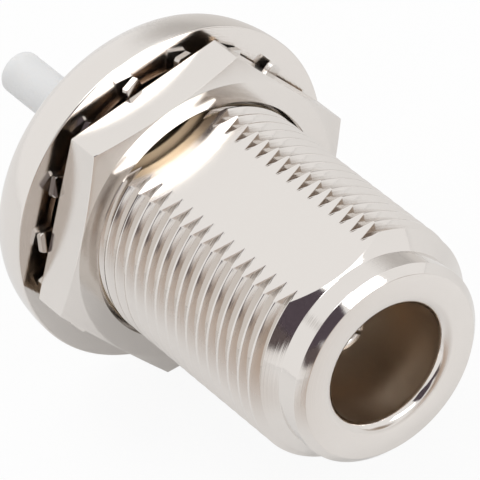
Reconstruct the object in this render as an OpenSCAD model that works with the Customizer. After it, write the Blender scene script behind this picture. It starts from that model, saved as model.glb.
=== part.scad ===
// Coaxial bulkhead jack with a 5/8-24 coupling thread, its lock washer and its hex nut.
// Frame: +Z up, mating end towards -Y, milled flat of the thread facing +Z. The origin is the
// centre of the flange's front face, which is the face that bears on the panel.
// Every module below is drawn along its own +Z (towards the mating end) with the milled flat
// facing +X, and as_installed() turns it into the frame above.

/* [Thread] */
// Major diameter of the coupling thread
thread_d = 15.875; // [15.6:0.025:16.0]
// Threads per inch
tpi = 24; // [20:1:28]
// Distance from the flange's front face to the end of the full thread
thread_end = 19.3; // [12:0.1:24]
// Distance from the axis to the milled flat
flat_h = 6.87; // [6.85:0.01:7.2]

/* [Flange] */
// How far the flange reaches past the nut's corners
flange_margin = 0.415; // [0.3:0.005:1.5]
// Flange thickness
flange_t = 3.45; // [2:0.05:4]
// How far the curved rim draws in from its front edge to its back edge
rim_draw = 1.2; // [0.3:0.05:1.6]
// Break at the rim's front edge
rim_break = 0.1; // [0.05:0.01:0.3]

/* [Nose] */
// Diameter of the smooth nose in front of the thread
nose_d = 13.54; // [13:0.02:13.6]
// Distance from the flange's front face to the nose's front face
nose_end = 22.4; // [15.5:0.1:28]
// Chamfer at the nose's outer edge
nose_chamfer = 0.5; // [0.2:0.05:0.8]
// Diameter of the socket bore
socket_d = 8.1; // [8.03:0.01:8.13]
// Depth from the nose's front face to the reference plane at the bottom of the socket bore
socket_depth = 9.1; // [9.04:0.01:9.19]
// Radius of the bore's rounded mouth
mouth_round = 0.45; // [0.2:0.05:0.6]

/* [Insulator and contact] */
// Diameter of the insulator inside the body
bead_d = 7.0; // [6.6:0.1:7.2]
// Diameter of the insulator's rod behind the flange
rod_d = 2.95; // [2.6:0.05:4.2]
// Length of the rod behind the flange's front face
rod_reach = 16.8; // [8:0.1:20]
// Outside diameter of the contact's socket
contact_d = 3.04; // [2.9:0.02:3.1]
// Diameter of the pin hole in the contact
contact_bore_d = 1.68; // [1.6:0.02:1.7]
// Depth of the contact's tip behind the nose's front face
contact_recess = 4.4; // [4.3:0.05:5.2]

/* [Nut and lock washer] */
// Width of the hex nut across its flats
nut_af = 19.2; // [19:0.05:19.3]
// Thickness of the hex nut
nut_t = 2.9; // [2.3:0.1:3.6]
// How far the lock washer's teeth reach past the nut's flats
tooth_over = 0.6; // [0.2:0.05:1.0]
// Sheet thickness of the lock washer
washer_t = 0.4; // [0.3:0.05:0.5]
// Number of teeth of the lock washer
washer_teeth = 16; // [12:1:18]
// Twist of each tooth about its own length, in degrees
tooth_twist = 16; // [8:1:18]

/* [Hidden] */
$fn = 96;
eps = 0.01;

// Thread form: 60 degrees, with a narrow flat at the root and at the crest. Each groove is
// a ring; the nut's bore is plain and clears the crests by thread_fit.
pitch = 25.4 / tpi;
thread_r = thread_d / 2;
thread_depth = 0.613 * pitch;
root_r = thread_r - thread_depth;
root_half = 0.075 * pitch;
slope = tan(30);
thread_phase = 0.194;
thread_fit = 0.05;

// Lock washer and nut, stacked on the flange's front face.
tooth_w = 1.45;
tooth_tip_r = nut_af / 2 + tooth_over;
stack_fit = 0.01;
washer_h = tooth_w * sin(tooth_twist) + washer_t * cos(tooth_twist);
nut_z = washer_h + 2 * stack_fit;
nut_corner_r = nut_af / 2 / cos(30);
nut_turn = -33;
flange_r = nut_corner_r + flange_margin;
nut_face_r = nut_af / 2 - 0.05;
nut_corner_drop = 0.5;
tooth_turn = 0;

// Inside of the body.
nose_r = nose_d / 2;
cone_end = thread_end + thread_r - nose_r;
socket_z = nose_end - socket_depth;
bead_back = 1.2;
bead_front = socket_z - 1.2;
bead_fit = 0.01;
contact_z = nose_end - contact_recess;
relief_r = root_r - 0.05;
relief_w = 0.7;
relief_end = relief_w + thread_r - relief_r;
tail_r = 0.6;
stub_r = 0.42;
stub_len = 0.8;

module as_installed() {
    rotate([90, 0, 0]) rotate([0, 0, 90]) children();
}

// Points of an arc about [cx, cy] from angle a0 to a1.
function arc(cx, cy, r, a0, a1, n = 8) =
    [for (i = [0 : n]) let (a = a0 + (a1 - a0) * i / n) [cx + r * cos(a), cy + r * sin(a)]];

// Half width of a thread groove at radius r.
function groove_half(r) = root_half + (r - root_r) * slope;

// Profile points of the thread's grooves, one V at every pitch between the relief and
// the end of the full thread.
function groove_points() =
    let (half = groove_half(thread_r),
         first = ceil((relief_end + half - thread_phase) / pitch),
         last = floor((thread_end - half - thread_phase) / pitch))
    [for (k = [first : last])
        let (z = thread_phase + k * pitch)
        each [[thread_r, z - half], [root_r, z - root_half],
              [root_r, z + root_half], [thread_r, z + half]]];

// Profile points of the flange's rim, a quarter of an ellipse from the back face to the
// broken front edge.
function rim_points(n = 12) = concat(
    [for (i = [0 : n]) let (a = 90 * i / n)
        [flange_r - rim_draw * (1 - sin(a)), -rim_break - (flange_t - rim_break) * cos(a)]],
    [[flange_r - rim_break, 0]]);

module body_turned() {
    mouth_r = socket_d / 2 + mouth_round;
    rotate_extrude()
        polygon(concat(
            [[rod_d / 2 + bead_fit, -flange_t]],
            rim_points(),
            [[relief_r, 0], [relief_r, relief_w], [thread_r, relief_end]],
            groove_points(),
            [[thread_r, thread_end], [nose_r, cone_end],
             [nose_r, nose_end - nose_chamfer], [nose_r - nose_chamfer, nose_end]],
            arc(mouth_r, nose_end - mouth_round, mouth_round, 90, 180, 6),
            [[socket_d / 2, socket_z], [bead_d / 2 + bead_fit, socket_z],
             [bead_d / 2 + bead_fit, bead_back], [rod_d / 2 + bead_fit, bead_back]]
        ));
}

module body() {
    color([0.78, 0.75, 0.72])
    as_installed()
        difference() {
            body_turned();
            translate([flat_h, -thread_r, 0])
                cube([thread_r, 2 * thread_r, cone_end + 0.5]);
        }
}

module insulator() {
    bore_r = contact_d / 2 - 0.5 + bead_fit;
    color([0.93, 0.93, 0.93])
    as_installed()
        rotate_extrude()
            polygon([
                [tail_r + bead_fit, -rod_reach], [rod_d / 2 - 0.1, -rod_reach],
                [rod_d / 2, -rod_reach + 0.1], [rod_d / 2, bead_back + bead_fit],
                [bead_d / 2, bead_back + bead_fit], [bead_d / 2, bead_front],
                [bore_r, bead_front], [bore_r, bead_back + 1.5],
                [tail_r + bead_fit, bead_back + 1.5]
            ]);
}

module center_contact() {
    slot_w = 0.28;
    slot_len = 4.5;
    bore_depth = 5.2;
    neck_r = contact_d / 2 - 0.5;
    tail_z = -rod_reach - stub_len;
    color([0.86, 0.72, 0.42])
    as_installed()
        difference() {
            rotate_extrude()
                polygon([
                    [0, tail_z], [stub_r, tail_z], [stub_r, -rod_reach], [tail_r, -rod_reach],
                    [tail_r, bead_back + 1.5 + bead_fit],
                    [neck_r, bead_back + 1.5 + bead_fit], [neck_r, bead_front + bead_fit],
                    [contact_d / 2, bead_front + bead_fit], [contact_d / 2, contact_z - 0.25],
                    [contact_d / 2 - 0.25, contact_z], [contact_bore_d / 2 + 0.12, contact_z],
                    [contact_bore_d / 2, contact_z - 0.12],
                    [contact_bore_d / 2, contact_z - bore_depth],
                    [0, contact_z - bore_depth - 0.4]
                ]);
            for (a = [45, 135])
                rotate([0, 0, a])
                    translate([-contact_d, -slot_w / 2, contact_z - slot_len])
                        cube([2 * contact_d, slot_w, slot_len + 1]);
        }
}

module washer_tooth(r0, r1) {
    rotate([tooth_twist, 0, 0])
        translate([r0, -tooth_w / 2, -washer_t / 2])
            cube([r1 - r0, tooth_w, washer_t]);
}

module lock_washer() {
    hole_r = thread_r + 0.12;
    ring_r = hole_r + 1.0;
    color([0.74, 0.71, 0.68])
    as_installed()
        translate([0, 0, stack_fit + washer_h / 2])
            difference() {
                union() {
                    translate([0, 0, -washer_t / 2]) cylinder(h = washer_t, r = ring_r);
                    for (i = [0 : washer_teeth - 1])
                        rotate([0, 0, tooth_turn + 360 / washer_teeth * i])
                            washer_tooth(ring_r - 0.35, tooth_tip_r);
                }
                translate([0, 0, -1]) cylinder(h = 2, r = hole_r);
            }
}

module hex_nut() {
    bore_r = thread_r + thread_fit;
    lead_r = thread_r + 0.28;
    lead_h = lead_r - bore_r;
    color([0.78, 0.75, 0.71])
    as_installed()
        difference() {
            intersection() {
                translate([0, 0, nut_z])
                    rotate([0, 0, nut_turn])
                        cylinder(h = nut_t, r = nut_corner_r, $fn = 6);
                translate([0, 0, nut_z])
                    rotate_extrude()
                        polygon([
                            [0, 0], [nut_corner_r + eps, 0],
                            [nut_corner_r + eps, nut_t - nut_corner_drop],
                            [nut_face_r, nut_t], [0, nut_t]
                        ]);
            }
            translate([0, 0, nut_z - 1]) cylinder(h = nut_t + 2, r = bore_r);
            translate([0, 0, nut_z + nut_t - lead_h])
                cylinder(h = lead_h + eps, r1 = bore_r, r2 = lead_r + eps);
            translate([0, 0, nut_z - eps])
                cylinder(h = lead_h + eps, r1 = lead_r + eps, r2 = bore_r);
        }
}

body();
insulator();
center_contact();
lock_washer();
hex_nut();
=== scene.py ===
import logging
import math
from collections.abc import Callable
from dataclasses import dataclass, field
from enum import Enum

import bmesh
import bpy
from mathutils import Matrix, Vector


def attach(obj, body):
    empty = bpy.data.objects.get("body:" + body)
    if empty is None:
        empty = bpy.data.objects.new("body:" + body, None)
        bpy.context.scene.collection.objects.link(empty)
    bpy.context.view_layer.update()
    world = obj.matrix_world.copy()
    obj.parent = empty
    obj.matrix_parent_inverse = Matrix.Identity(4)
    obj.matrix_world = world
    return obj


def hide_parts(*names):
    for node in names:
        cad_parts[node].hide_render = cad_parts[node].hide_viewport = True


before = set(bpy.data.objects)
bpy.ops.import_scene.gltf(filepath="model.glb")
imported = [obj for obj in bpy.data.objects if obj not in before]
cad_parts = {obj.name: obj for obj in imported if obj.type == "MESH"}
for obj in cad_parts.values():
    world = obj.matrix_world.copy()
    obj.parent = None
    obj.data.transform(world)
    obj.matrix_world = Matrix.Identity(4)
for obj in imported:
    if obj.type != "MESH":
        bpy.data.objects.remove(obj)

# Threaded coaxial bulkhead jack. Sizes are in millimetres in each piece's own turning frame:
# z runs along the axis towards the mating end, x is square to the milled flat, and z = 0 is the
# flange's front face. seat() puts a finished mesh into the row frame, in metres.

LOG = logging.getLogger("jack")
MM = 0.001
COLUMNS = 240
PITCH = 25.4 / 24
THREAD_R = 15.875 / 2
THREAD_DEPTH = 0.613 * PITCH
ROOT_R = THREAD_R - THREAD_DEPTH
ROOT_HALF = 0.075 * PITCH
FLANK = math.tan(math.radians(30))
GROOVE_PHASE = 0.194
FLOOR_DROP = 0.0115
SEAT_MATRIX = Matrix(((0, -MM, 0, 0), (0, 0, -MM, 0), (MM, 0, 0, 0), (0, 0, 0, 1)))

Point = tuple[float, float]
Colour = tuple[float, float, float]
EdgeTest = Callable[[Vector], bool]


class Cut(Enum):
    """How a cutter acts on a blank."""

    AWAY = "DIFFERENCE"
    COMMON = "INTERSECT"
    ADD = "UNION"


# ---------------------------------------------------------------- shaping


def arc(cx: float, cy: float, r: float, start: float, end: float, steps: int = 8) -> list[Point]:
    """Points of an arc.

    Args:
        cx: Centre along the first axis.
        cy: Centre along the second axis.
        r: Radius.
        start: First angle in degrees.
        end: Last angle in degrees.
        steps: Number of chords.

    Returns:
        The arc's points, both ends included.
    """
    angles = (math.radians(start + (end - start) * i / steps) for i in range(steps + 1))
    return [(cx + r * math.cos(a), cy + r * math.sin(a)) for a in angles]


def eased(profile: list[Point], corners: dict[int, float], steps: int = 3) -> list[Point]:
    """Rounds chosen corners of a closed profile.

    Args:
        profile: The closed outline.
        corners: Radius for each corner's index.
        steps: Chords in each rounded corner.

    Returns:
        The outline with those corners rounded.
    """
    out: list[Point] = []
    count = len(profile)
    for i, point in enumerate(profile):
        if i not in corners:
            out.append(point)
            continue
        here = Vector(point)
        back = (Vector(profile[i - 1]) - here).normalized()
        ahead = (Vector(profile[(i + 1) % count]) - here).normalized()
        half = 0.5 * back.angle(ahead)
        reach = corners[i] / math.tan(half)
        start, end = here + back * reach, here + ahead * reach
        for k in range(steps + 1):
            t = k / steps
            p = start * (1 - t) ** 2 + here * (2 * t * (1 - t)) + end * t ** 2
            out.append((p.x, p.y))
    return out


def lathe(profile: list[Point], columns: int = COLUMNS) -> bmesh.types.BMesh:
    """Turns a closed (radius, z) outline about the axis.

    Args:
        profile: The closed outline, with radius 0 where it meets the axis.
        columns: Steps round the axis.

    Returns:
        A closed mesh.
    """
    bm = bmesh.new()
    turns = [2 * math.pi * k / columns for k in range(columns)]
    rings = []
    for r, z in profile:
        if r < 1e-6:
            rings.append([bm.verts.new((0, 0, z))])
        else:
            rings.append([bm.verts.new((r * math.cos(a), r * math.sin(a), z)) for a in turns])
    for low, high in zip(rings, rings[1:] + rings[:1]):
        if len(low) == len(high) == 1:
            continue
        for k in range(columns):
            n = (k + 1) % columns
            if len(low) == 1:
                bm.faces.new((low[0], high[n], high[k]))
            elif len(high) == 1:
                bm.faces.new((low[k], low[n], high[0]))
            else:
                bm.faces.new((low[k], low[n], high[n], high[k]))
    bmesh.ops.recalc_face_normals(bm, faces=bm.faces)
    return bm


def coil_cutter(section: list[Point], middle: float, start: float, end: float,
                columns: int = COLUMNS) -> bmesh.types.BMesh:
    """Sweeps a section along a right-hand helix of the thread's pitch.

    Args:
        section: The closed (radius, z) section, with z measured from the groove's middle.
        middle: z where the groove's middle crosses the x axis.
        start: First turn, in turns from there.
        end: Last turn.
        columns: Steps a turn, in step with the lathe's columns.

    Returns:
        A closed mesh.
    """
    bm = bmesh.new()
    first, last = math.floor(start * columns), math.ceil(end * columns)
    rows = []
    for k in range(first, last + 1):
        a = 2 * math.pi * k / columns
        rise = middle + PITCH * k / columns
        rows.append([bm.verts.new((r * math.cos(a), r * math.sin(a), rise + z)) for r, z in section])
    count = len(section)
    for low, high in zip(rows, rows[1:]):
        for j in range(count):
            n = (j + 1) % count
            bm.faces.new((low[j], low[n], high[n], high[j]))
    bm.faces.new(rows[0])
    bm.faces.new(rows[-1])
    bmesh.ops.recalc_face_normals(bm, faces=bm.faces)
    return bm


def block(low: tuple[float, float, float], high: tuple[float, float, float],
          turn: float = 0.0) -> bmesh.types.BMesh:
    """A straight cutter between two corners.

    Args:
        low: Lowest corner.
        high: Highest corner.
        turn: Turn about the axis, in degrees.

    Returns:
        A closed box mesh.
    """
    bm = bmesh.new()
    bmesh.ops.create_cube(bm, size=1.0)
    size = Vector(high) - Vector(low)
    middle = (Vector(high) + Vector(low)) / 2
    place = Matrix.Rotation(math.radians(turn), 4, "Z") @ Matrix.Translation(middle)
    bm.transform(place @ Matrix.Diagonal((*size, 1)))
    return bm


def machined(blank: bmesh.types.BMesh, cutters: list[bmesh.types.BMesh],
             cut: Cut = Cut.AWAY) -> bmesh.types.BMesh:
    """Cuts a blank with each cutter in turn.

    Args:
        blank: The closed mesh that is cut. It is used up.
        cutters: Closed meshes. They are used up.
        cut: What is kept.

    Returns:
        The cut mesh.
    """
    scratch = []
    for i, bm in enumerate([blank, *cutters]):
        mesh = bpy.data.meshes.new(f"scratch_{i}")
        bm.to_mesh(mesh)
        bm.free()
        obj = bpy.data.objects.new(f"scratch_{i}", mesh)
        bpy.context.scene.collection.objects.link(obj)
        scratch.append(obj)
    for tool in scratch[1:]:
        modifier = scratch[0].modifiers.new("cut", "BOOLEAN")
        modifier.operation = cut.value
        modifier.solver = "MANIFOLD"
        modifier.object = tool
    graph = bpy.context.evaluated_depsgraph_get()
    shaped = scratch[0].evaluated_get(graph)
    out = bmesh.new()
    out.from_mesh(shaped.to_mesh())
    shaped.to_mesh_clear()
    for obj in scratch:
        mesh = obj.data
        bpy.data.objects.remove(obj)
        bpy.data.meshes.remove(mesh)
    bmesh.ops.remove_doubles(out, verts=out.verts, dist=1e-5)
    return out


def break_edges(bm: bmesh.types.BMesh, width: float, angle: float, chosen: EdgeTest,
                segments: int = 2) -> None:
    """Eases the sharp edges that a test picks.

    Args:
        bm: The mesh, changed in place.
        width: Width of the eased edge.
        angle: Least angle between the two faces, in degrees.
        chosen: Takes an edge's middle and says whether the edge is eased.
        segments: Segments across the eased edge.
    """
    edges = [e for e in bm.edges if len(e.link_faces) == 2
             and e.calc_face_angle(0) > math.radians(angle)
             and chosen((e.verts[0].co + e.verts[1].co) / 2)]
    bmesh.ops.bevel(bm, geom=edges, offset=width, offset_type="OFFSET", segments=segments,
                    profile=0.5, affect="EDGES", clamp_overlap=True)


def seat(bm: bmesh.types.BMesh, name: str, body: str, node: str,
         material: bpy.types.Material, sharp: float = 25.0) -> bpy.types.Object:
    """Puts a finished mesh into the row frame in place of its CAD node.

    Args:
        bm: The mesh in its own turning frame. It is used up.
        name: Piece name.
        body: CAD body that it rides on.
        node: CAD node that it stands for.
        material: Its finish.
        sharp: Angle above which an edge shades sharp, in degrees.

    Returns:
        The new object.
    """
    bm.transform(SEAT_MATRIX)
    mesh = bpy.data.meshes.new(name)
    bm.to_mesh(mesh)
    bm.free()
    mesh.shade_smooth()
    mesh.set_sharp_from_angle(angle=math.radians(sharp))
    obj = bpy.data.objects.new(name, mesh)
    bpy.context.scene.collection.objects.link(obj)
    mesh.materials.append(material)
    even = obj.modifiers.new("even_shading", "WEIGHTED_NORMAL")
    even.keep_sharp = True
    even.weight = 60
    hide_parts(node)
    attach(obj, body)
    LOG.info("%s: %d faces", name, len(mesh.polygons))
    return obj


# ---------------------------------------------------------------- finishes


def group_socket(group: bpy.types.NodeTree, name: str, side: str, kind: str,
                 value: float | None = None) -> None:
    """Adds one socket to a node group.

    Args:
        group: The node group.
        name: Socket name.
        side: INPUT or OUTPUT.
        kind: Socket type.
        value: Default of a number input.
    """
    socket = group.interface.new_socket(name=name, in_out=side, socket_type=kind)
    if value is not None:
        socket.default_value = value


def tool_marks() -> bpy.types.NodeTree:
    """Builds the group that gives turning rings, fine grain and small dings.

    Returns:
        A node group with inputs Ring Scale, Ring Depth, Grain Depth and Ding Amount, and
        outputs Height, Dull and Shade, and Radius, Along and Lift, the place on the piece in mm.
    """
    group = bpy.data.node_groups.new("tool_marks", "ShaderNodeTree")
    group_socket(group, "Ring Scale", "INPUT", "NodeSocketFloat", 20.0)
    group_socket(group, "Ring Depth", "INPUT", "NodeSocketFloat", 1.0)
    group_socket(group, "Grain Depth", "INPUT", "NodeSocketFloat", 0.3)
    group_socket(group, "Ding Amount", "INPUT", "NodeSocketFloat", 0.3)
    group_socket(group, "Height", "OUTPUT", "NodeSocketFloat")
    group_socket(group, "Dull", "OUTPUT", "NodeSocketFloat")
    group_socket(group, "Shade", "OUTPUT", "NodeSocketFloat")
    group_socket(group, "Radius", "OUTPUT", "NodeSocketFloat")
    group_socket(group, "Along", "OUTPUT", "NodeSocketFloat")
    group_socket(group, "Lift", "OUTPUT", "NodeSocketFloat")
    nodes, links = group.nodes, group.links
    given = nodes.new("NodeGroupInput")
    out = nodes.new("NodeGroupOutput")
    where = nodes.new("ShaderNodeTexCoord")
    to_mm = nodes.new("ShaderNodeVectorMath")
    to_mm.operation = "SCALE"
    to_mm.inputs["Scale"].default_value = 1000.0
    links.new(where.outputs["Object"], to_mm.inputs[0])
    parts = nodes.new("ShaderNodeSeparateXYZ")
    links.new(to_mm.outputs[0], parts.inputs[0])
    across = nodes.new("ShaderNodeCombineXYZ")
    links.new(parts.outputs["X"], across.inputs["X"])
    links.new(parts.outputs["Z"], across.inputs["Z"])
    radius = nodes.new("ShaderNodeVectorMath")
    radius.operation = "LENGTH"
    links.new(across.outputs[0], radius.inputs[0])
    ring_at = nodes.new("ShaderNodeCombineXYZ")
    links.new(radius.outputs["Value"], ring_at.inputs["X"])
    links.new(parts.outputs["Y"], ring_at.inputs["Y"])
    rings = nodes.new("ShaderNodeTexNoise")
    rings.noise_dimensions = "2D"
    rings.inputs["Detail"].default_value = 2.0
    links.new(ring_at.outputs[0], rings.inputs["Vector"])
    links.new(given.outputs["Ring Scale"], rings.inputs["Scale"])
    grain = nodes.new("ShaderNodeTexNoise")
    grain.inputs["Scale"].default_value = 9.0
    grain.inputs["Detail"].default_value = 3.0
    links.new(to_mm.outputs[0], grain.inputs["Vector"])
    cloud = nodes.new("ShaderNodeTexNoise")
    cloud.inputs["Scale"].default_value = 0.35
    cloud.inputs["Detail"].default_value = 2.0
    links.new(to_mm.outputs[0], cloud.inputs["Vector"])
    speck = nodes.new("ShaderNodeTexVoronoi")
    speck.inputs["Scale"].default_value = 2.1
    speck.inputs["Randomness"].default_value = 1.0
    links.new(to_mm.outputs[0], speck.inputs["Vector"])
    spot = nodes.new("ShaderNodeMapRange")
    spot.inputs["From Min"].default_value = 0.03
    spot.inputs["From Max"].default_value = 0.09
    spot.inputs["To Min"].default_value = 1.0
    spot.inputs["To Max"].default_value = 0.0
    links.new(speck.outputs["Distance"], spot.inputs["Value"])
    few = nodes.new("ShaderNodeMapRange")
    few.inputs["From Min"].default_value = 0.80
    few.inputs["From Max"].default_value = 0.82
    links.new(speck.outputs["Color"], few.inputs["Value"])
    chosen = nodes.new("ShaderNodeMath")
    chosen.operation = "MULTIPLY"
    links.new(spot.outputs["Result"], chosen.inputs[0])
    links.new(few.outputs["Result"], chosen.inputs[1])
    ding = nodes.new("ShaderNodeMath")
    ding.operation = "MULTIPLY"
    links.new(chosen.outputs[0], ding.inputs[0])
    links.new(given.outputs["Ding Amount"], ding.inputs[1])

    def times(a: bpy.types.NodeSocket, b: bpy.types.NodeSocket) -> bpy.types.NodeSocket:
        """Product of two sockets."""
        node = nodes.new("ShaderNodeMath")
        node.operation = "MULTIPLY"
        links.new(a, node.inputs[0])
        links.new(b, node.inputs[1])
        return node.outputs[0]

    def plus(a: bpy.types.NodeSocket, b: bpy.types.NodeSocket,
             take: bool = False) -> bpy.types.NodeSocket:
        """Sum or difference of two sockets."""
        node = nodes.new("ShaderNodeMath")
        node.operation = "SUBTRACT" if take else "ADD"
        links.new(a, node.inputs[0])
        links.new(b, node.inputs[1])
        return node.outputs[0]

    ring_height = times(rings.outputs["Fac"], given.outputs["Ring Depth"])
    grain_height = times(grain.outputs["Fac"], given.outputs["Grain Depth"])
    height = plus(plus(ring_height, grain_height), ding.outputs[0], take=True)
    links.new(height, out.inputs["Height"])
    dull = nodes.new("ShaderNodeMapRange")
    dull.inputs["From Min"].default_value = 0.35
    dull.inputs["From Max"].default_value = 0.7
    links.new(cloud.outputs["Fac"], dull.inputs["Value"])
    links.new(plus(dull.outputs["Result"], ding.outputs[0]), out.inputs["Dull"])
    links.new(cloud.outputs["Fac"], out.inputs["Shade"])
    links.new(radius.outputs["Value"], out.inputs["Radius"])
    along = nodes.new("ShaderNodeMath")
    along.operation = "MULTIPLY"
    along.inputs[1].default_value = -1.0
    links.new(parts.outputs["Y"], along.inputs[0])
    links.new(along.outputs[0], out.inputs["Along"])
    links.new(parts.outputs["Z"], out.inputs["Lift"])
    return group


class Measure(Enum):
    """What a zone's limits are measured along, in mm."""

    RADIUS = "Radius"
    ALONG = "Along"
    LIFT = "Lift"


@dataclass(frozen=True)
class Zone:
    """A stretch of a piece whose plate is duller or browner than the rest; the browner stretches are
    painted shade.
    """

    measure: Measure
    none_at: float
    full_at: float
    colour: Colour
    rough: float
    grain: float = 0.0


@dataclass(frozen=True)
class PlatedFinish:
    """Bright nickel plate over turned or stamped metal."""

    name: str
    colour: Colour
    deep: Colour
    rough: tuple[float, float] = (0.05, 0.09)
    ring_scale: float = 9.0
    ring_depth: float = 1.2
    grain_depth: float = 0.3
    ding_amount: float = 1.2
    bump: float = 0.000002
    zones: tuple[Zone, ...] = ()

    def build(self, marks: bpy.types.NodeTree) -> bpy.types.Material:
        """Makes the material.

        Args:
            marks: The tool_marks group.

        Returns:
            The material.
        """
        material = bpy.data.materials.new(self.name)
        material.use_nodes = True
        nodes, links = material.node_tree.nodes, material.node_tree.links
        shader = nodes["Principled BSDF"]
        shader.inputs["Metallic"].default_value = 1.0
        shader.inputs["Specular IOR Level"].default_value = 0.5
        worked = nodes.new("ShaderNodeGroup")
        worked.node_tree = marks
        worked.inputs["Ring Scale"].default_value = self.ring_scale
        worked.inputs["Ring Depth"].default_value = self.ring_depth
        worked.inputs["Grain Depth"].default_value = self.grain_depth
        worked.inputs["Ding Amount"].default_value = self.ding_amount
        tone = nodes.new("ShaderNodeMix")
        tone.data_type = "RGBA"
        tone.inputs["A"].default_value = (*self.deep, 1)
        tone.inputs["B"].default_value = (*self.colour, 1)
        links.new(worked.outputs["Shade"], tone.inputs["Factor"])
        base = tone.outputs["Result"]
        rough = nodes.new("ShaderNodeMapRange")
        rough.inputs["To Min"].default_value = self.rough[0]
        rough.inputs["To Max"].default_value = self.rough[1]
        links.new(worked.outputs["Dull"], rough.inputs["Value"])
        sheen = rough.outputs["Result"]
        turned = nodes.new("ShaderNodeTangent")
        turned.direction_type = "RADIAL"
        turned.axis = "Y"
        # Each zone blends its colour and roughness over the plate; the brown zones are painted shade
        # in bores, under the nut and between nut and flange.
        for zone in self.zones:
            share = nodes.new("ShaderNodeMapRange")
            share.interpolation_type = "SMOOTHSTEP"
            share.inputs["From Min"].default_value = zone.none_at
            share.inputs["From Max"].default_value = zone.full_at
            links.new(worked.outputs[zone.measure.value], share.inputs["Value"])
            toned = nodes.new("ShaderNodeMix")
            toned.data_type = "RGBA"
            links.new(share.outputs["Result"], toned.inputs["Factor"])
            links.new(base, toned.inputs["A"])
            toned.inputs["B"].default_value = (*zone.colour, 1)
            base = toned.outputs["Result"]
            dulled = nodes.new("ShaderNodeMix")
            links.new(share.outputs["Result"], dulled.inputs["Factor"])
            links.new(sheen, dulled.inputs["A"])
            dulled.inputs["B"].default_value = zone.rough
            sheen = dulled.outputs["Result"]
            if zone.grain:
                grain = nodes.new("ShaderNodeMath")
                grain.operation = "MULTIPLY"
                grain.inputs[1].default_value = zone.grain
                links.new(share.outputs["Result"], grain.inputs[0])
                links.new(grain.outputs[0], shader.inputs["Anisotropic"])
                links.new(turned.outputs[0], shader.inputs["Tangent"])
        links.new(base, shader.inputs["Base Color"])
        links.new(sheen, shader.inputs["Roughness"])
        bump = nodes.new("ShaderNodeBump")
        bump.inputs["Distance"].default_value = self.bump
        bump.inputs["Strength"].default_value = 1.0
        links.new(worked.outputs["Height"], bump.inputs["Height"])
        links.new(bump.outputs["Normal"], shader.inputs["Normal"])
        return material


@dataclass(frozen=True)
class FluoropolymerFinish:
    """Waxy white insulator plastic that light soaks into."""

    name: str = "white_fluoropolymer"
    colour: Colour = (0.80, 0.80, 0.80)
    depth: float = 0.0012

    def build(self, marks: bpy.types.NodeTree) -> bpy.types.Material:
        """Makes the material.

        Args:
            marks: The tool_marks group.

        Returns:
            The material.
        """
        material = bpy.data.materials.new(self.name)
        material.use_nodes = True
        nodes, links = material.node_tree.nodes, material.node_tree.links
        shader = nodes["Principled BSDF"]
        shader.inputs["Subsurface Weight"].default_value = 0.6
        shader.inputs["Subsurface Scale"].default_value = self.depth
        shader.inputs["Subsurface Radius"].default_value = (1.0, 0.95, 0.9)
        shader.inputs["IOR"].default_value = 1.35
        worked = nodes.new("ShaderNodeGroup")
        worked.node_tree = marks
        worked.inputs["Ring Scale"].default_value = 14.0
        worked.inputs["Ring Depth"].default_value = 1.0
        worked.inputs["Grain Depth"].default_value = 0.6
        worked.inputs["Ding Amount"].default_value = 0.1
        tone = nodes.new("ShaderNodeMix")
        tone.data_type = "RGBA"
        tone.inputs["A"].default_value = (*(0.95 * c for c in self.colour), 1)
        tone.inputs["B"].default_value = (*self.colour, 1)
        links.new(worked.outputs["Shade"], tone.inputs["Factor"])
        links.new(tone.outputs["Result"], shader.inputs["Base Color"])
        rough = nodes.new("ShaderNodeMapRange")
        rough.inputs["To Min"].default_value = 0.38
        rough.inputs["To Max"].default_value = 0.5
        links.new(worked.outputs["Dull"], rough.inputs["Value"])
        links.new(rough.outputs["Result"], shader.inputs["Roughness"])
        bump = nodes.new("ShaderNodeBump")
        bump.inputs["Distance"].default_value = 0.00002
        links.new(worked.outputs["Height"], bump.inputs["Height"])
        links.new(bump.outputs["Normal"], shader.inputs["Normal"])
        return material


# ---------------------------------------------------------------- the jack


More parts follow.
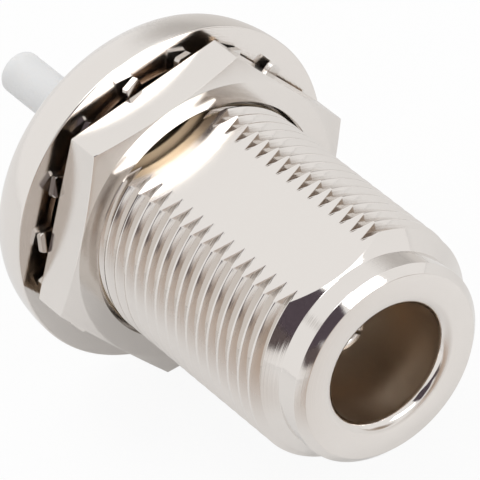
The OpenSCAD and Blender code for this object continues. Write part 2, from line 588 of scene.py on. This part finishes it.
@dataclass
class Body:
    """The turned body: flange, flatted thread, cone, nose and stepped socket bore."""

    finish: bpy.types.Material
    flange_r: float = 11.5
    flange_t: float = 3.45
    rim_draw: float = 1.2
    rim_break: float = 0.1
    rod_r: float = 1.485
    relief_r: float = ROOT_R - 0.05
    relief_w: float = 0.7
    thread_end: float = 19.3
    flat_h: float = 6.87
    nose_r: float = 6.77
    nose_end: float = 22.4
    nose_chamfer: float = 0.5
    socket_r: float = 4.05
    mouth_round: float = 0.72
    socket_z: float = 13.3
    bead_r: float = 3.51
    bead_back: float = 1.2
    crest_round: float = 0.045

    def profile(self) -> list[Point]:
        """Outline of the turned blank, before the thread is cut.

        Returns:
            The closed (radius, z) outline.
        """
        cone_end = self.thread_end + THREAD_R - self.nose_r
        mouth_r = self.socket_r + self.mouth_round
        front = [
            (self.relief_r, 0), (self.relief_r, self.relief_w),
            (THREAD_R, self.relief_w + THREAD_R - self.relief_r),
            (THREAD_R, self.thread_end), (self.nose_r, cone_end),
            (self.nose_r, self.nose_end - self.nose_chamfer),
            (self.nose_r - self.nose_chamfer, self.nose_end),
        ]
        front = eased([(self.relief_r, -1), *front, (mouth_r, self.nose_end)],
                      {4: 0.06, 5: 0.08, 6: 0.07, 7: 0.07})[1:-1]
        return [
            (self.rod_r, -self.flange_t),
            *self.rim(),
            *front,
            *arc(mouth_r, self.nose_end - self.mouth_round, self.mouth_round, 90, 180, 8),
            (self.socket_r, self.socket_z), (self.bead_r, self.socket_z),
            (self.bead_r, self.bead_back), (self.rod_r, self.bead_back),
        ]

    def rim(self, steps: int = 24) -> list[Point]:
        """The flange's rim: a quarter of an ellipse up to the broken front edge.

        Args:
            steps: Chords along the curve.

        Returns:
            Points from the back face to the front face.
        """
        tall = self.flange_t - self.rim_break
        turns = [math.pi / 2 * i / steps for i in range(steps + 1)]
        curve = [(self.flange_r - self.rim_draw * (1 - math.sin(a)),
                  -self.rim_break - tall * math.cos(a)) for a in turns]
        return [*curve, *arc(self.flange_r - self.rim_break, -self.rim_break, self.rim_break,
                             20, 90, 4)]

    def groove(self) -> list[Point]:
        """Section of the thread's groove, with eased root and crest corners.

        Returns:
            The closed (radius, z) section.
        """
        half = ROOT_HALF + THREAD_DEPTH * FLANK
        c = self.crest_round
        slope = FLANK
        right = [
            (ROOT_R, ROOT_HALF * 0.55), (ROOT_R + 0.02, ROOT_HALF),
            (THREAD_R - c, half - c * slope), (THREAD_R - c * 0.35, half + c * 0.12),
            (THREAD_R - c * 0.04, half + c * 0.75), (THREAD_R + 0.3, half + c * 1.0),
        ]
        left = [(r, -z) for r, z in reversed(right)]
        return [*left, *right]

    def build(self) -> bpy.types.Object:
        """Turns the blank, cuts the thread and mills the flat.

        Returns:
            The body.
        """
        blank = lathe(self.profile())
        thread = coil_cutter(self.groove(), GROOVE_PHASE, 0.45 / PITCH, 20.6 / PITCH)
        cone_end = self.thread_end + THREAD_R - self.nose_r
        flat = block((self.flat_h, -9, 0.0), (12, 9, cone_end + 0.5))
        shaped = machined(blank, [thread, flat])
        return seat(shaped, "body_turned", "jack", "body", self.finish)


@dataclass
class HexNut:
    """The hex nut: chamfered corners, eased edges and a threaded bore."""

    finish: bpy.types.Material
    across_flats: float = 19.2
    thickness: float = 2.9
    back: float = 0.8042
    turn: float = -33.0
    corner_drop: float = 0.5
    lead_r: float = THREAD_R + 0.28
    edge: float = 0.05

    def build(self) -> bpy.types.Object:
        """Shapes the nut.

        Returns:
            The nut.
        """
        corner_r = self.across_flats / 2 / math.cos(math.radians(30))
        face_r = self.across_flats / 2 - 0.05
        front = self.back + self.thickness
        prism = lathe([(0, self.back), (corner_r, self.back), (corner_r, front), (0, front)], 6)
        bmesh.ops.rotate(prism, verts=prism.verts, cent=(0, 0, 0),
                         matrix=Matrix.Rotation(math.radians(self.turn), 3, "Z"))
        turned = lathe([(0, self.back), (corner_r + 0.3, self.back),
                        (corner_r + 0.01, front - self.corner_drop), (face_r, front), (0, front)])
        hexagon = machined(prism, [turned], Cut.COMMON)
        bore_r = ROOT_R + 0.09
        lead = self.lead_r - bore_r
        bore = lathe([(0, self.back - 1), (self.lead_r + 1, self.back - 1), (bore_r, self.back + lead),
                      (bore_r, front - lead), (self.lead_r + 1, front + 1), (0, front + 1)])
        inner = ROOT_R - 0.05
        outer = THREAD_R + 0.09
        fit = 0.05
        half_in = PITCH / 2 - ROOT_HALF - (inner - ROOT_R) * FLANK + fit
        half_out = PITCH / 2 - ROOT_HALF - (outer - ROOT_R) * FLANK + fit
        section = [(inner, -half_in), (outer, -half_out), (outer, half_out), (inner, half_in)]
        thread = coil_cutter(section, GROOVE_PHASE + PITCH / 2, self.back / PITCH - 1.9,
                             front / PITCH + 0.9)
        shaped = machined(hexagon, [bore, thread])
        limit = self.across_flats / 2 - 0.25
        break_edges(shaped, self.edge, 14, lambda p: math.hypot(p.x, p.y) > limit, 1)
        return seat(shaped, "hex_nut_piece", "nut", "hex_nut", self.finish)


@dataclass
class LockWasher:
    """The stamped lock washer with outward teeth, each twisted about its own length."""

    finish: bpy.types.Material
    hole_r: float = THREAD_R + 0.12
    ring_w: float = 1.0
    tip_r: float = 10.2
    thickness: float = 0.4
    tooth_w: float = 1.45
    teeth: int = 16
    twist: float = 16.0
    middle: float = 0.4021
    edge: float = 0.045

    def tooth(self, turn: float) -> bmesh.types.BMesh:
        """One tooth, twisted more and more towards its tip.

        Args:
            turn: Its place round the ring, in degrees.

        Returns:
            A closed mesh.
        """
        bm = bmesh.new()
        root = self.hole_r + self.ring_w - 0.35
        steps = 10
        rows = []
        for i in range(steps + 1):
            t = i / steps
            r = root + (self.tip_r - root) * t
            swing = math.radians(self.twist) * min(1.0, t * 1.6 + 0.25)
            half = self.tooth_w / 2 * (1 - 0.10 * t)
            tip = max(0.0, (t - 0.85) / 0.15)
            half -= 0.10 * tip ** 2
            flat = self.thickness / 2
            e = self.edge
            outline = [(-half + e, -flat), (half - e, -flat), (half, -flat + e), (half, flat - e),
                       (half - e, flat), (-half + e, flat), (-half, flat - e), (-half, -flat + e)]
            rows.append([bm.verts.new((r, y * math.cos(swing) - z * math.sin(swing),
                                       y * math.sin(swing) + z * math.cos(swing)))
                         for y, z in outline])
        for low, high in zip(rows, rows[1:]):
            for j in range(8):
                n = (j + 1) % 8
                bm.faces.new((low[j], low[n], high[n], high[j]))
        bm.faces.new(rows[0])
        bm.faces.new(rows[-1])
        bmesh.ops.recalc_face_normals(bm, faces=bm.faces)
        bmesh.ops.rotate(bm, verts=bm.verts, cent=(0, 0, 0),
                         matrix=Matrix.Rotation(math.radians(turn), 3, "Z"))
        return bm

    def build(self) -> bpy.types.Object:
        """Stamps the ring and its teeth.

        Returns:
            The washer.
        """
        ring_r = self.hole_r + self.ring_w
        flat, e = self.thickness / 2, self.edge
        ring = lathe([(self.hole_r, -flat + e), (self.hole_r + e, -flat), (ring_r - e, -flat),
                      (ring_r, -flat + e), (ring_r, flat - e), (ring_r - e, flat),
                      (self.hole_r + e, flat), (self.hole_r, flat - e)], 192)
        teeth = [self.tooth(360 / self.teeth * i) for i in range(self.teeth)]
        shaped = machined(ring, teeth, Cut.ADD)
        bmesh.ops.translate(shaped, verts=shaped.verts, vec=(0, 0, self.middle))
        return seat(shaped, "lock_washer_piece", "washer", "lock_washer",
                    self.finish)


@dataclass
class Insulator:
    """The bead inside the body and the bare rod behind the flange."""

    finish: bpy.types.Material
    rod_r: float = 1.475
    rod_reach: float = 16.8
    tail_r: float = 0.61
    bead_r: float = 3.5
    bead_back: float = 1.21
    bead_front: float = 12.1
    bore_r: float = 1.03
    bore_back: float = 2.7

    def build(self) -> bpy.types.Object:
        """Turns the insulator.

        Returns:
            The insulator.
        """
        profile = eased([
            (self.tail_r, -self.rod_reach), (self.rod_r, -self.rod_reach),
            (self.rod_r, self.bead_back), (self.bead_r, self.bead_back),
            (self.bead_r, self.bead_front), (self.bore_r, self.bead_front),
            (self.bore_r, self.bore_back), (self.tail_r, self.bore_back),
        ], {1: 0.14, 4: 0.15})
        return seat(lathe(profile, 96), "insulator_turned", "jack", "insulator",
                    self.finish, 50)


@dataclass
class CentreContact:
    """The slotted socket contact and its tail."""

    finish: bpy.types.Material
    outer_r: float = 1.52
    bore_r: float = 0.84
    tip: float = 18.0
    seat_z: float = 12.11
    tail_r: float = 0.6
    stub_r: float = 0.42
    rod_reach: float = 16.8
    stub: float = 0.8
    bore_depth: float = 5.2
    slot_w: float = 0.28
    slot_len: float = 4.5

    def build(self) -> bpy.types.Object:
        """Turns the contact and saws its slots.

        Returns:
            The contact.
        """
        neck = self.outer_r - 0.5
        profile = [
            (0, -self.rod_reach - self.stub), (self.stub_r - 0.08, -self.rod_reach - self.stub),
            (self.stub_r, -self.rod_reach - self.stub + 0.08), (self.stub_r, -self.rod_reach),
            (self.tail_r, -self.rod_reach), (self.tail_r, 2.71), (neck, 2.71),
            (neck, self.seat_z), (self.outer_r, self.seat_z),
            *arc(self.outer_r - 0.3, self.tip - 0.3, 0.3, 0, 90, 8),
            *arc(self.bore_r + 0.22, self.tip - 0.22, 0.22, 90, 180, 6),
            (self.bore_r, self.tip - self.bore_depth), (0, self.tip - self.bore_depth - 0.4),
        ]
        slots = [block((-3, -self.slot_w / 2, self.tip - self.slot_len),
                       (3, self.slot_w / 2, self.tip + 1), turn) for turn in (45, 135)]
        shaped = machined(lathe(profile, 96), slots)
        return seat(shaped, "centre_contact_piece", "jack", "center_contact",
                    self.finish, 30)


# ---------------------------------------------------------------- studio


@dataclass(frozen=True)
class Card:
    """A card that stands round the jack for its metal to mirror, angles in degrees."""

    name: str
    bearing: float
    rise: float
    width: float
    height: float
    distance: float
    colour: Colour
    fade: float = 0.35

    def finish(self) -> bpy.types.Material:
        """Matte card that thins out towards its edges.

        Returns:
            The material.
        """
        material = bpy.data.materials.new(self.name)
        material.use_nodes = True
        nodes, links = material.node_tree.nodes, material.node_tree.links
        shader = nodes["Principled BSDF"]
        shader.inputs["Base Color"].default_value = (*self.colour, 1)
        shader.inputs["Roughness"].default_value = 1.0
        shader.inputs["Specular IOR Level"].default_value = 0.0
        where = nodes.new("ShaderNodeTexCoord")
        across = nodes.new("ShaderNodeSeparateXYZ")
        links.new(where.outputs["UV"], across.inputs[0])
        shares = []
        for side in ("X", "Y"):
            edge = nodes.new("ShaderNodeMath")
            edge.operation = "PINGPONG"
            edge.inputs[1].default_value = 0.5
            links.new(across.outputs[side], edge.inputs[0])
            solid = nodes.new("ShaderNodeMapRange")
            solid.interpolation_type = "SMOOTHSTEP"
            solid.inputs["From Max"].default_value = self.fade
            links.new(edge.outputs[0], solid.inputs["Value"])
            shares.append(solid.outputs["Result"])
        solid = nodes.new("ShaderNodeMath")
        solid.operation = "MULTIPLY"
        links.new(shares[0], solid.inputs[0])
        links.new(shares[1], solid.inputs[1])
        links.new(solid.outputs[0], shader.inputs["Alpha"])
        return material

    def build(self) -> bpy.types.Object:
        """Stands the card up.

        Returns:
            The card, which only reflections see.
        """
        bm = bmesh.new()
        places = bm.loops.layers.uv.new("card")
        steps = 24
        rows = []
        for i in range(steps + 1):
            a = math.radians(self.bearing + self.width * (i / steps - 0.5))
            row = []
            for j in range(steps + 1):
                e = math.radians(self.rise + self.height * (j / steps - 0.5))
                reach = self.distance
                if reach * math.sin(e) < -FLOOR_DROP:
                    reach = -FLOOR_DROP / math.sin(e)
                row.append(bm.verts.new((reach * math.sin(a) * math.cos(e),
                                         -reach * math.cos(a) * math.cos(e),
                                         reach * math.sin(e))))
            rows.append(row)
        for i in range(steps):
            for j in range(steps):
                face = bm.faces.new((rows[i][j], rows[i][j + 1], rows[i + 1][j + 1],
                                     rows[i + 1][j]))
                for loop, (u, v) in zip(face.loops, ((0, 0), (0, 1), (1, 1), (1, 0))):
                    loop[places].uv = ((i + u) / steps, (j + v) / steps)
        mesh = bpy.data.meshes.new(self.name)
        bm.to_mesh(mesh)
        bm.free()
        mesh.materials.append(self.finish())
        obj = bpy.data.objects.new(self.name, mesh)
        bpy.context.scene.collection.objects.link(obj)
        obj.visible_camera = False
        obj.visible_shadow = False
        obj.visible_diffuse = False
        return obj


@dataclass
class Studio:
    """Pale floor, soft lamps, dark cards for the metal to mirror, and the camera."""

    floor_z: float = -FLOOR_DROP - 0.0003
    camera_at: tuple[float, float, float] = (-0.091915, -0.237630, 0.245078)
    camera_turn: tuple[float, float, float] = (43.287, 15.359, -37.488)
    lens: float = 427.726
    cards: list[Card] = field(default_factory=lambda: [
        Card("card_dark", -26.0, 45.0, 53.0, 50.0, 0.60, (0.12, 0.095, 0.115), 0.10),
        Card("card_dark_left", -40.0, 19.0, 26.0, 28.0, 0.60, (0.15, 0.12, 0.12), 0.25),
        Card("card_low", -18.0, 0.0, 80.0, 46.0, 0.62, (0.54, 0.44, 0.37), 0.38),
        Card("card_front_right", 40.0, 3.0, 34.0, 30.0, 0.63, (0.42, 0.34, 0.28), 0.4),
        Card("card_right_high", 98.0, 32.0, 34.0, 34.0, 0.62, (0.26, 0.20, 0.16), 0.4),
        Card("card_left_high", -126.0, 55.0, 36.0, 30.0, 0.62, (0.24, 0.19, 0.15), 0.4),
        Card("card_right", 128.0, -5.0, 60.0, 90.0, 0.66, (0.74, 0.72, 0.70), 0.3),
    ])

    def camera(self) -> None:
        """Places the camera."""
        data = bpy.data.cameras.new("camera")
        data.lens = self.lens
        data.sensor_width = 36.0
        data.clip_start = 0.01
        data.clip_end = 20.0
        obj = bpy.data.objects.new("camera", data)
        obj.location = self.camera_at
        obj.rotation_euler = tuple(math.radians(a) for a in self.camera_turn)
        bpy.context.scene.collection.objects.link(obj)
        bpy.context.scene.camera = obj

    def world(self) -> None:
        """Even white surround, full white to camera, glossy and transmission rays."""
        world = bpy.data.worlds.new("surround")
        bpy.context.scene.world = world
        world.use_nodes = True
        nodes, links = world.node_tree.nodes, world.node_tree.links
        back = nodes["Background"]
        back.inputs["Color"].default_value = (1, 1, 1, 1)
        path = nodes.new("ShaderNodeLightPath")
        seen = nodes.new("ShaderNodeMath")
        seen.operation = "MAXIMUM"
        links.new(path.outputs["Is Camera Ray"], seen.inputs[0])
        links.new(path.outputs["Is Glossy Ray"], seen.inputs[1])
        also = nodes.new("ShaderNodeMath")
        also.operation = "MAXIMUM"
        links.new(seen.outputs[0], also.inputs[0])
        links.new(path.outputs["Is Transmission Ray"], also.inputs[1])
        level = nodes.new("ShaderNodeMapRange")
        level.inputs["To Min"].default_value = 0.7
        level.inputs["To Max"].default_value = 1.0
        links.new(also.outputs[0], level.inputs["Value"])
        links.new(level.outputs["Result"], back.inputs["Strength"])

    def floor(self) -> None:
        """A wide pale floor that keeps a soft shadow."""
        bm = bmesh.new()
        bmesh.ops.create_circle(bm, cap_ends=True, segments=64, radius=3.0)
        bmesh.ops.translate(bm, verts=bm.verts, vec=(0, 0, self.floor_z))
        mesh = bpy.data.meshes.new("floor")
        bm.to_mesh(mesh)
        bm.free()
        obj = bpy.data.objects.new("floor", mesh)
        bpy.context.scene.collection.objects.link(obj)
        material = bpy.data.materials.new("pale_floor")
        material.use_nodes = True
        nodes, links = material.node_tree.nodes, material.node_tree.links
        shader = nodes["Principled BSDF"]
        shader.inputs["Base Color"].default_value = (0.86, 0.86, 0.86, 1)
        shader.inputs["Roughness"].default_value = 0.28
        glow = nodes.new("ShaderNodeEmission")
        glow.inputs["Color"].default_value = (1, 1, 1, 1)
        path = nodes.new("ShaderNodeLightPath")
        direct = nodes.new("ShaderNodeMath")
        direct.operation = "MULTIPLY"
        direct.inputs[1].default_value = 0.92
        links.new(path.outputs["Is Camera Ray"], direct.inputs[0])
        share = nodes.new("ShaderNodeMath")
        share.operation = "MULTIPLY_ADD"
        share.inputs[1].default_value = 0.2
        links.new(path.outputs["Is Glossy Ray"], share.inputs[0])
        links.new(direct.outputs[0], share.inputs[2])
        mix = nodes.new("ShaderNodeMixShader")
        links.new(share.outputs[0], mix.inputs["Fac"])
        links.new(shader.outputs[0], mix.inputs[1])
        links.new(glow.outputs[0], mix.inputs[2])
        links.new(mix.outputs[0], nodes["Material Output"].inputs["Surface"])
        mesh.materials.append(material)

    def lamp(self, name: str, at: tuple[float, float, float], size: tuple[float, float],
             power: float) -> None:
        """A soft lamp aimed at the jack.

        Args:
            name: Lamp name.
            at: Its place in metres.
            size: Its width and height in metres.
            power: Its power in watts.
        """
        data = bpy.data.lights.new(name, "AREA")
        data.shape = "RECTANGLE"
        data.size, data.size_y = size
        data.energy = power
        obj = bpy.data.objects.new(name, data)
        obj.location = at
        obj.rotation_euler = (Vector((0, -0.005, 0)) - Vector(at)).to_track_quat("-Z", "Y").to_euler()
        bpy.context.scene.collection.objects.link(obj)

    def build(self) -> None:
        """Sets up the whole studio."""
        self.camera()
        self.world()
        self.floor()
        for card in self.cards:
            card.build()
        self.lamp("key_lamp", (0.224, -0.504, 0.431), (0.42, 0.26), 0.95)
        self.lamp("top_lamp", (0.0, 0.12, 0.75), (0.30, 0.30), 1.3)


def main() -> None:
    """Builds the jack and its studio."""
    logging.basicConfig(level=logging.INFO, format="%(name)s %(message)s")
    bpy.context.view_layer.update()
    scene = bpy.context.scene
    scene.view_settings.view_transform = "Standard"
    marks = tool_marks()
    plate = (0.765, 0.727, 0.692)
    deep = (0.735, 0.698, 0.663)
    nickel = PlatedFinish("bright_nickel", plate, deep, zones=(
        Zone(Measure.ALONG, 0.25, 0.05, plate, 0.13),
        Zone(Measure.LIFT, 6.84, 6.866, plate, 0.17),
        # Painted shade: brown tint in the socket bore and behind it stands in for the deep bore's
        # many-bounce darkness.
        Zone(Measure.RADIUS, 4.12, 4.06, (0.76, 0.64, 0.52), 0.38, 0.7),
    )).build(marks)
    nut_nickel = PlatedFinish("nut_nickel", plate, deep, (0.13, 0.18), 26.0, 0.5, 0.5, 0.3,
                              # Painted shade: dark brown on the nut's back face, where it sits over
                              # the washer and flange.
                              zones=(Zone(Measure.ALONG, 0.9, 0.81, (0.34, 0.26, 0.19), 0.2),
                                     # Painted shade: golden brown in the nut's threaded bore and lead
                                     # chamfer.
                                     Zone(Measure.RADIUS, 8.02, 7.9, (0.74, 0.61, 0.44), 0.3))
                              ).build(marks)
    washer_nickel = PlatedFinish("washer_nickel", (0.78, 0.75, 0.72), (0.70, 0.66, 0.62),
                                 (0.10, 0.16), 10.0, 0.2, 0.8, 0.4,
                                 # Painted shade: dark brown on the washer's ring and tooth roots,
                                 # hidden between nut and flange; the tooth tips stay bright.
                                 zones=(Zone(Measure.RADIUS, 9.9, 9.3, (0.28, 0.21, 0.16), 0.25),)
                                 ).build(marks)
    contact_plate = PlatedFinish("contact_plate", (0.95, 0.94, 0.92), (0.90, 0.89, 0.87),
                                 (0.22, 0.30), 30.0, 0.8, 0.3, 0.2).build(marks)
    white = FluoropolymerFinish().build(marks)
    Body(nickel).build()
    Insulator(white).build()
    CentreContact(contact_plate).build()
    LockWasher(washer_nickel).build()
    HexNut(nut_nickel).build()
    Studio().build()


if __name__ == "__main__":
    main()
